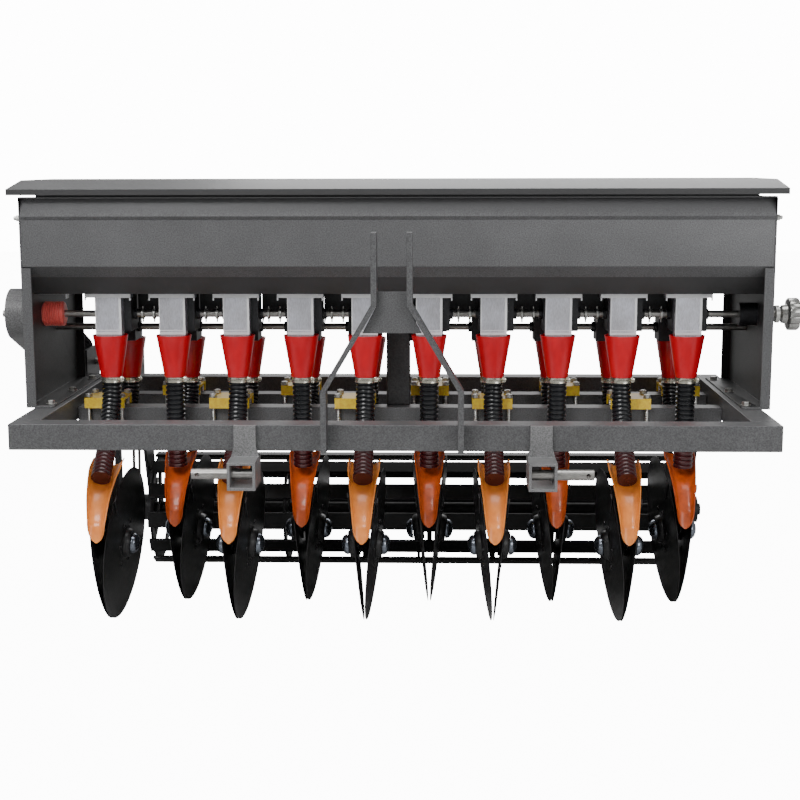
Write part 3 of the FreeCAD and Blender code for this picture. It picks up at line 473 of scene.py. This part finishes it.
BAND_TALL = 0.013
BAND_INNER, BAND_OUTER = HOSE_RADIUS + 0.0002, HOSE_RADIUS + 0.0022
BAND_PROFILE = [(BAND_INNER, 0), (BAND_OUTER, 0.0008), (BAND_OUTER - 0.0006, 0.004),
                (BAND_OUTER - 0.0006, BAND_TALL - 0.004), (BAND_OUTER, BAND_TALL - 0.0008),
                (BAND_INNER, BAND_TALL)]
bands = bmesh.new()
for x in ROW_X:
    for behind, top in (FRONT_CUP, REAR_CUP):
        centre = at(x, behind, top - CUP_TALL - BAND_TALL)
        lathe(bands, BAND_PROFILE, Matrix.Translation(centre), 36, closed=True)
        ear = centre + Vector((0.024, -0.006, 0.0065))
        lathe(bands, [(0.0035, -0.004), (0.0055, -0.003), (0.0055, 0.003), (0.0035, 0.004)],
              place_at(ear, (0, 1, 0)), 16)
        lathe(bands, [(0.0022, -0.013), (0.0022, 0.013)], place_at(ear, (0, 1, 0)), 12)
piece("hose_bands", bands, band_steel, "frame", ("hose_clamps",))


# ---------------------------------------------------------------- openers

DISC_RADIUS = 0.175
TILT = math.radians(6.5)
CONTACT = math.radians(60)          # how far below the horizontal each pair of discs meets
RANK = (0.300, 0.450)               # the two ranks' axles, behind the face
DISC_OFFSET = 0.0222                # a disc's centre, to each side of its row


def disc_axis(side):
    """The axle's direction outwards, for the left (-1) or right (1) disc of a pair."""
    slant = math.sin(TILT)
    return Vector((side * math.cos(TILT), -slant * math.cos(CONTACT), -slant * math.sin(CONTACT)))


lean = abs(disc_axis(1).z)
DISC_HEIGHT = DISC_RADIUS * math.sqrt(1 - lean * lean) + 0.002 * lean


def disc_mesh():
    """A coulter disc sharpened at its rim, with a domed hub cap and its rivets; outwards is +Z."""
    mesh = bmesh.new()
    lathe(mesh, [
        (0.01208, -0.008), (0.026, -0.008), (0.0272, -0.0068), (0.0272, -0.002), (0.160, -0.002),
        (DISC_RADIUS, -0.0006), (DISC_RADIUS, 0.0006), (0.160, 0.002), (0.040, 0.002), (0.038, 0.004),
        (0.034, 0.005), (0.0325, 0.012), (0.029, 0.0165), (0.022, 0.0178), (0.01208, 0.0178),
    ], Matrix.Identity(4), 72, closed=True)
    for index in range(6):
        angle = math.pi * index / 3
        spot = Matrix.Translation((0.052 * math.cos(angle), 0.052 * math.sin(angle), 0.002))
        lathe(mesh, [(0.0052, 0), (0.0048, 0.0018), (0.0028, 0.0029), (0.0008, 0.0031)], spot, 12)
    bmesh.ops.recalc_face_normals(mesh, faces=mesh.faces)
    data = bpy.data.meshes.new("coulter_disc")
    mesh.to_mesh(data)
    mesh.free()
    data.materials.append(disc_black)
    return data


shared_disc = disc_mesh()
for row, x in enumerate(ROW_X):
    for side, word in ((-1, "left"), (1, "right")):
        node = f"disc_{row + 1:02d}_{word}"
        item = bpy.data.objects.new(f"{node}_finished", shared_disc)
        bpy.context.scene.collection.objects.link(item)
        item.matrix_world = place_at(at(x + side * DISC_OFFSET, RANK[row % 2], DISC_HEIGHT), disc_axis(side))
        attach(item, node)
        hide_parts(node)
shared_disc.shade_smooth()
shared_disc.set_sharp_from_angle(angle=WALL)


BOOT_START, BOOT_END = math.radians(14), math.radians(80)   # round the disc, up from straight ahead
BOOT_RADIUS = 0.1895
BOOT_THICK = 0.003
BOOT_NARROW, BOOT_WIDENING = 0.0155, 0.0205                 # half width at the foot, and what it gains
BOOT_CURL = 0.019                                           # how far the long edges lift
BOOT_CREASE = 0.0025                                        # the raised line above the foot
BOOT_ROWS, BOOT_ACROSS = 34, 14


def boot_foot(share):
    """Along the boot: 0 at the tip of its foot, 1 from where the foot has rounded out."""
    return min(1.0, share / 0.13)


def boot_half(share):
    """Half width along the boot, rounded in at the foot."""
    width = BOOT_NARROW + BOOT_WIDENING * min(1, share / 0.8)
    return width * math.sqrt(max(0.02, 1 - (1 - boot_foot(share)) ** 2))


def boot_mesh(mesh, x, rank):
    """A pressed leaf curling down in front of the discs: wide at the hose, a rounded tongue at the foot."""
    centre = at(x, RANK[rank], DISC_HEIGHT)
    surfaces = []
    for lift in (0.0, BOOT_THICK):
        grid = []
        for index in range(BOOT_ROWS + 1):
            share = index / BOOT_ROWS
            angle = BOOT_START + (BOOT_END - BOOT_START) * share
            half = boot_half(share)
            foot = boot_foot(share)
            crease = BOOT_CREASE * math.exp(-((share - 0.17) / 0.03) ** 2)
            line = []
            for step in range(BOOT_ACROSS + 1):
                offset = 2 * step / BOOT_ACROSS - 1
                edge = abs(offset) > 0.999
                curl = BOOT_CURL * abs(offset) ** 3.2 * min(1, 0.35 + share * 1.6) * foot
                radius = BOOT_RADIUS + curl + lift * (0.55 if edge else 1) + crease
                spread = half - (BOOT_THICK * 0.85 if lift and edge else 0)
                line.append(mesh.verts.new(centre + Vector((
                    spread * offset, -radius * math.cos(angle), radius * math.sin(angle)))))
            grid.append(line)
        surfaces.append(grid)
    under, over = surfaces
    for index in range(BOOT_ROWS):
        here, there = under[index], under[index + 1]
        here_over, there_over = over[index], over[index + 1]
        for step in range(BOOT_ACROSS):
            mesh.faces.new((here[step], here[step + 1], there[step + 1], there[step]))
            mesh.faces.new((here_over[step], there_over[step], there_over[step + 1], here_over[step + 1]))
        for step in (0, BOOT_ACROSS):
            mesh.faces.new((here[step], there[step], there_over[step], here_over[step]))
    for index in (0, BOOT_ROWS):
        below, above = under[index], over[index]
        for step in range(BOOT_ACROSS):
            mesh.faces.new((below[step], above[step], above[step + 1], below[step + 1]))


# The rear rank's boots take the darker orange: painted shade, with dust.
for rank, (word, boot_paint) in enumerate((("front", orange), ("rear", rear_boot_orange_shaded_dusty))):
    boots = bmesh.new()
    for x in ROW_X[rank::2]:
        boot_mesh(boots, x, rank)
    piece(f"{word}_boots_pressed", boots, boot_paint, "frame", ("opener_boots",))

caps = bmesh.new()
for row, x in enumerate(ROW_X):
    for side in (-1, 1):
        centre = at(x + side * DISC_OFFSET, RANK[row % 2], DISC_HEIGHT)
        lathe(caps, [(0.0112, 0.0185), (0.0235, 0.0185), (0.0232, 0.0225), (0.0205, 0.0275), (0.0150, 0.0315),
                     (0.008, 0.0335), (0.002, 0.0341)], place_at(centre, disc_axis(side)), 40)
piece("axle_dust_caps", caps, cap_steel, "frame")


# ---------------------------------------------------------------- fixings

THREAD_STEP = 0.002
THREAD_CREST, THREAD_ROOT = 0.0048, 0.0041
CLAMP_FACE = (0.370, 0.565)             # the clamps' fronts on the two toolbars, behind the face
CLAMP_SHIFT = 0.027                     # how far a clamp stands outwards of its row; two rows have none
NUT_RADIUS = 0.0085


def stud(mesh, point, low, high):
    """A threaded stud standing along Z."""
    turns = int((high - low) / THREAD_STEP)
    profile = [(THREAD_CREST if index % 2 else THREAD_ROOT, low + (high - low) * index / turns)
               for index in range(turns + 1)]
    lathe(mesh, profile, Matrix.Translation(point), 14)


stud_low, stud_high = (corner.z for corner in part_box("clamp_bolts"))
studs = bmesh.new()
for row, x in enumerate(ROW_X):
    shift = CLAMP_SHIFT * (0 if row in (5, 6) else math.copysign(1, row - 5))
    face = CLAMP_FACE[row % 2]
    for sign in (-1, 1):
        for behind in (face - 0.008, face + 0.058):
            spot = at(x + shift + sign * 0.038, behind, 0)
            place = Matrix.Translation(spot)
            stud(studs, spot, stud_low + 0.0005, stud_high - 0.0005)
            hexagon(studs, NUT_RADIUS, stud_high - 0.0075, stud_high - 0.0015, place)
            hexagon(studs, NUT_RADIUS, stud_low + 0.0012, stud_low + 0.0075, place)
            lathe(studs, [(0.0092, stud_high - 0.0085), (0.0092, stud_high - 0.0072)], place, 20)
piece("clamp_studs", studs, zinc, "frame", ("clamp_bolts",))

bolts = bmesh.new()
RAIL_BOLT, RAIL_TOP = 0.7726, 0.509
for side in (-1, 1):                    # the rails' bolts, on washers
    for behind in (0.240, 0.433, 0.626):
        spot = place_at(at(side * RAIL_BOLT, behind, RAIL_TOP))
        lathe(bolts, [(0.0115, 0), (0.0115, 0.0012)], spot, 24)
        hexagon(bolts, 0.0088, 0.0012, 0.0078, spot)
ROLLER_AXLE = 0.775
for arm, axis in ((-0.652, 1), (0.738, -1)):        # the roller arms' bolts
    for shift, z in ((-0.018, 0.250), (0.004, 0.215)):
        hexagon(bolts, 0.0095, 0, 0.0072, place_at(at(arm, ROLLER_AXLE + shift, z), (axis, 0, 0)))
for side in (-1, 1):                    # one high on each end plate, with its end standing out
    spot = place_at(at(side * 0.8186, 0.212, 0.922), (side, 0, 0))
    hexagon(bolts, 0.0075, 0, 0.0065, spot)
    lathe(bolts, [(0.0045, 0.0065), (0.0045, 0.011), (0.003, 0.0125)], spot, 14)
lathe(bolts, [(0.0055, 0), (0.005, 0.0015), (0.003, 0.0026), (0.001, 0.003)],
      place_at(at(0.0, 0.2075, 0.946), (0, -1, 0.2)), 16)       # a rivet in the middle of the hopper's band
piece("hex_bolts", bolts, zinc, "frame", ("frame_bolts",))

HOUSING_RIGHT, HOUSING_LEFT = 0.046, 0.032      # a metering housing's sides, from its row
COTTER_SHIFT = 0.013
COLLAR_PROFILE = [(0.0081, -0.003), (0.0115, -0.003), (0.0125, -0.002), (0.0125, 0.002), (0.0115, 0.003),
                  (0.0081, 0.003)]
cotters = bmesh.new()
for row in range(ROWS - 1):
    middle = (ROW_X[row] + HOUSING_RIGHT + ROW_X[row + 1] - HOUSING_LEFT) / 2
    for shift in (-COTTER_SHIFT, COTTER_SHIFT):
        spot = at(middle + shift, *METER_SHAFT)
        lathe(cotters, COLLAR_PROFILE, place_at(spot, (1, 0, 0)), 20, closed=True)
        lathe(cotters, [(0.0018, -0.019), (0.0018, 0.017), (0.0008, 0.018)], place_at(spot), 10)
piece("shaft_cotters", cotters, zinc, "front_meter")


# ---------------------------------------------------------------- ends of the metering shaft

CAP_RIBS = 8
BORE = 0.0081                           # just clears the shaft
cap_low, cap_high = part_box("shaft_end_cap")
length = cap_high.x - cap_low.x
cap_profile = [(BORE, 0), (0.0265, 0)]
for index in range(CAP_RIBS):
    base = 0.002 + index * (length - 0.004) / CAP_RIBS
    cap_profile += [(0.0262, base), (0.0284, base + 0.001), (0.0284, base + 0.0038), (0.0262, base + 0.0048)]
cap_profile += [(0.0262, length - 0.001), (0.024, length), (BORE, length)]
ribs = bmesh.new()
lathe(ribs, cap_profile, place_at(at(cap_low.x, *METER_SHAFT), (1, 0, 0)), 56, closed=True)
piece("shaft_end_cap_ribbed", ribs, red_cap, "frame", ("shaft_end_cap",))

FLANGE_LOW, FLANGE_HIGH = 0.7405, 0.7505
# The trims and the flanges below are painted near-white as highlight.
trims = bmesh.new()                     # bright folded edges down each front chute, two bands at its mouth
CHUTE_MESH = frame["nodes"]["outlet_chutes"].data
for x in ROW_X:                         # measured on the front chute below its flange, which is wider
    near = [vertex.co for vertex in CHUTE_MESH.vertices
            if abs(vertex.co.x - x) < 0.06 and vertex.co.y < FACE + 0.36 and vertex.co.z < 0.72]
    front = min(point.y for point in near)
    face = [point for point in near if point.y < front + 0.001]
    left, right = min(point.x for point in face), max(point.x for point in face)
    foot = min(point.z for point in near)
    mouth = max(foot, at(x, 0, FRONT_CUP[1]).z + 0.002)
    inner_left, inner_right = left + 0.0016, right - 0.0045
    sunk = front + 0.0002
    block(trims, (inner_right, front - 0.0012, mouth), (right + 0.0006, sunk, FLANGE_LOW))
    block(trims, (left - 0.0004, front - 0.0008, mouth), (inner_left, sunk, FLANGE_LOW))
    for low, high in ((0, 0.0055), (0.0085, 0.0105)):
        block(trims, (inner_left, front - 0.0010, mouth + low), (inner_right, sunk, mouth + high))
piece("chute_edges", trims, zinc_painted_highlight, "frame")

webs = bmesh.new()                      # the dark arched web between one metering unit and the next
WEB_TOP, WEB_SIDE, WEB_ARCH, WEB_STEPS = 0.748, 0.664, 0.690, 16
WEB_FRONT, WEB_BACK = 0.418, 0.422
for left, right in zip(ROW_X, ROW_X[1:]):
    start, end = left + 0.045, right - 0.03
    edges = []
    for step in range(WEB_STEPS + 1):
        share = step / WEB_STEPS
        low_z = WEB_SIDE + (WEB_ARCH - WEB_SIDE) * math.sqrt(max(0, 1 - (2 * share - 1) ** 4))
        x = start + (end - start) * share
        edges.append([webs.verts.new(at(x, behind, z)) for behind, z in (
            (WEB_FRONT, WEB_TOP), (WEB_FRONT, low_z), (WEB_BACK, low_z), (WEB_BACK, WEB_TOP))])
    skin(webs, edges)
piece("housing_webs", webs, black, "frame")

KNOB_LOBES = 10
knob_low, knob_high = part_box("adjuster_knob")
knob_radius = (knob_high.z - knob_low.z) / 2
knob = bmesh.new()
knob_long = knob_high.x - knob_low.x
KNOB_BORE = 0.0085
knob_profile = [(KNOB_BORE / knob_radius, 0), (0.55, 0), (0.6, 0.3), (0.97, 0.36), (1, 0.42), (1, 0.9),
                (0.94, 1), (0.5, 1), (0.45, 0.97), (KNOB_BORE / knob_radius, 0.97)]     # shares of its size
knob_axis = at(knob_low.x, *METER_SHAFT)
lathe(knob, [(wide * knob_radius, along * knob_long) for wide, along in knob_profile],
      place_at(knob_axis, (1, 0, 0)), 12 * KNOB_LOBES, closed=True)
for vertex in knob.verts:               # finger grooves round the grip
    arm = Vector((0, vertex.co.y - knob_axis.y, vertex.co.z - knob_axis.z))
    if arm.length > 0.8 * knob_radius:
        vertex.co -= arm * 0.09 * max(0, math.cos(KNOB_LOBES * math.atan2(arm.z, arm.y))) ** 2
piece("adjuster_knob_grooved", knob, knob_zinc, "knob", ("adjuster_knob",))

FLANGE_FRONT, FLANGE_BACK, FLANGE_HALF = 0.3015, 0.3035, 0.052
TAB_HALF = 0.0015
flange = bmesh.new()
for x in ROW_X:
    block(flange, at(x - FLANGE_HALF, FLANGE_FRONT, FLANGE_LOW), at(x + FLANGE_HALF, FLANGE_BACK, FLANGE_HIGH))
    for side in (-1, 1):                # the flange's ends turn down
        tab = x + side * (FLANGE_HALF - TAB_HALF)
        block(flange, at(tab - TAB_HALF, FLANGE_FRONT, FLANGE_LOW - 0.006),
              at(tab + TAB_HALF, FLANGE_BACK, FLANGE_LOW + 0.001))
block(flange, at(-0.8140, 0.330, 0.7465), at(-0.752, 0.400, 0.7500))    # a small ledge at the left end
block(flange, at(-0.7545, 0.330, 0.736), at(-0.752, 0.350, 0.7468))
piece("chute_flanges", flange, zinc_painted_highlight, "frame")


# ---------------------------------------------------------------- stage

SEEN_WHITE = 14.0                   # what the camera sees behind the object
SKY = 0.42                          # what lights the object from all round
FLOOR_GLOW = 0.9                    # how much of the floor's look is the seen white


def camera_only(tree):
    """1 for what the camera sees directly, 0 for the light that falls on the object."""
    return add(tree, "ShaderNodeLightPath").outputs["Is Camera Ray"]


def white_floor():
    """A pale floor that keeps soft shadows and fades into the white behind."""
    material, tree, bsdf = shader("floor_pale")
    cloud = noise(tree, 3, 2.0)
    tone = ramp(tree, cloud, [(0.3, (0.5, 0.5, 0.5)), (0.7, (0.54, 0.54, 0.54))])
    tree.links.new(tone, bsdf.inputs["Base Color"])
    bsdf.inputs["Roughness"].default_value = 0.7
    glow = add(tree, "ShaderNodeEmission", Strength=SEEN_WHITE)
    mix = add(tree, "ShaderNodeMixShader")
    tree.links.new(calculate(tree, "MULTIPLY", camera_only(tree), FLOOR_GLOW), mix.inputs["Fac"])
    tree.links.new(bsdf.outputs["BSDF"], mix.inputs[1])
    tree.links.new(glow.outputs["Emission"], mix.inputs[2])
    tree.links.new(mix.outputs["Shader"], tree.nodes["Material Output"].inputs["Surface"])
    return material


FLOOR_REACH = 14
FLOOR_HEIGHT = -0.0005              # just under the discs and the roller
floor_mesh = bmesh.new()
corners = [floor_mesh.verts.new((x * FLOOR_REACH, y * FLOOR_REACH, FLOOR_HEIGHT))
           for x, y in ((-1, -1), (1, -1), (1, 1), (-1, 1))]
floor_mesh.faces.new(corners)
floor_data = bpy.data.meshes.new("floor")
floor_mesh.to_mesh(floor_data)
floor_mesh.free()
floor = bpy.data.objects.new("floor", floor_data)
floor_data.materials.append(white_floor())
bpy.context.scene.collection.objects.link(floor)

world = bpy.data.worlds.new("studio")
world.use_nodes = True
world_tree = world.node_tree
sky = world_tree.nodes["Background"]
sky.inputs["Color"].default_value = (1, 1, 1, 1)
sky.inputs["Strength"].default_value = SKY
seen = add(world_tree, "ShaderNodeBackground", Color=(1, 1, 1, 1), Strength=SEEN_WHITE)
either = add(world_tree, "ShaderNodeMixShader")
world_tree.links.new(camera_only(world_tree), either.inputs["Fac"])
world_tree.links.new(sky.outputs["Background"], either.inputs[1])
world_tree.links.new(seen.outputs["Background"], either.inputs[2])
world_tree.links.new(either.outputs["Shader"], world_tree.nodes["World Output"].inputs["Surface"])
bpy.context.scene.world = world

SOFTBOXES = {                       # place, aim, (width, height), watts
    "key": ((-1.6, -3.2, 3.4), (0, 0, 0.6), (2.0, 1.4), 120),
    "fill": ((2.6, -3.0, 1.6), (0, 0, 0.5), (2.0, 1.6), 35),
    "top": ((0, -0.4, 4.2), (0, 0, 0.6), (3.0, 2.0), 90),
    "rim": ((0.5, 3.6, 2.2), (0, 0, 0.5), (3.0, 1.5), 40),
}
for name, (place, aim, size, power) in SOFTBOXES.items():
    light = bpy.data.lights.new(name, "AREA")
    light.shape = "RECTANGLE"
    light.size, light.size_y = size
    light.energy = power
    lamp = bpy.data.objects.new(name, light)
    lamp.location = place
    lamp.rotation_euler = (Vector(aim) - Vector(place)).to_track_quat("-Z", "Y").to_euler()
    bpy.context.scene.collection.objects.link(lamp)

LENS, SENSOR = 65.7, 36             # millimetres
CAMERA_PLACE = (0.0987, -3.3855, 1.0394)
PITCH_DOWN, YAW, ROLL = (math.radians(turn) for turn in (9.23, -1.6157, 0.134))
level = math.cos(PITCH_DOWN)
forward = Vector((math.sin(YAW) * level, math.cos(YAW) * level, -math.sin(PITCH_DOWN)))
camera_data = bpy.data.cameras.new("camera")
camera_data.sensor_width = SENSOR
camera_data.lens = LENS
camera_data.clip_end = 60
camera = bpy.data.objects.new("camera", camera_data)
facing = forward.to_track_quat("-Z", "Y").to_matrix().to_4x4()
camera.matrix_world = Matrix.Translation(CAMERA_PLACE) @ facing @ Matrix.Rotation(-ROLL, 4, "Z")
bpy.context.scene.collection.objects.link(camera)
bpy.context.scene.camera = camera
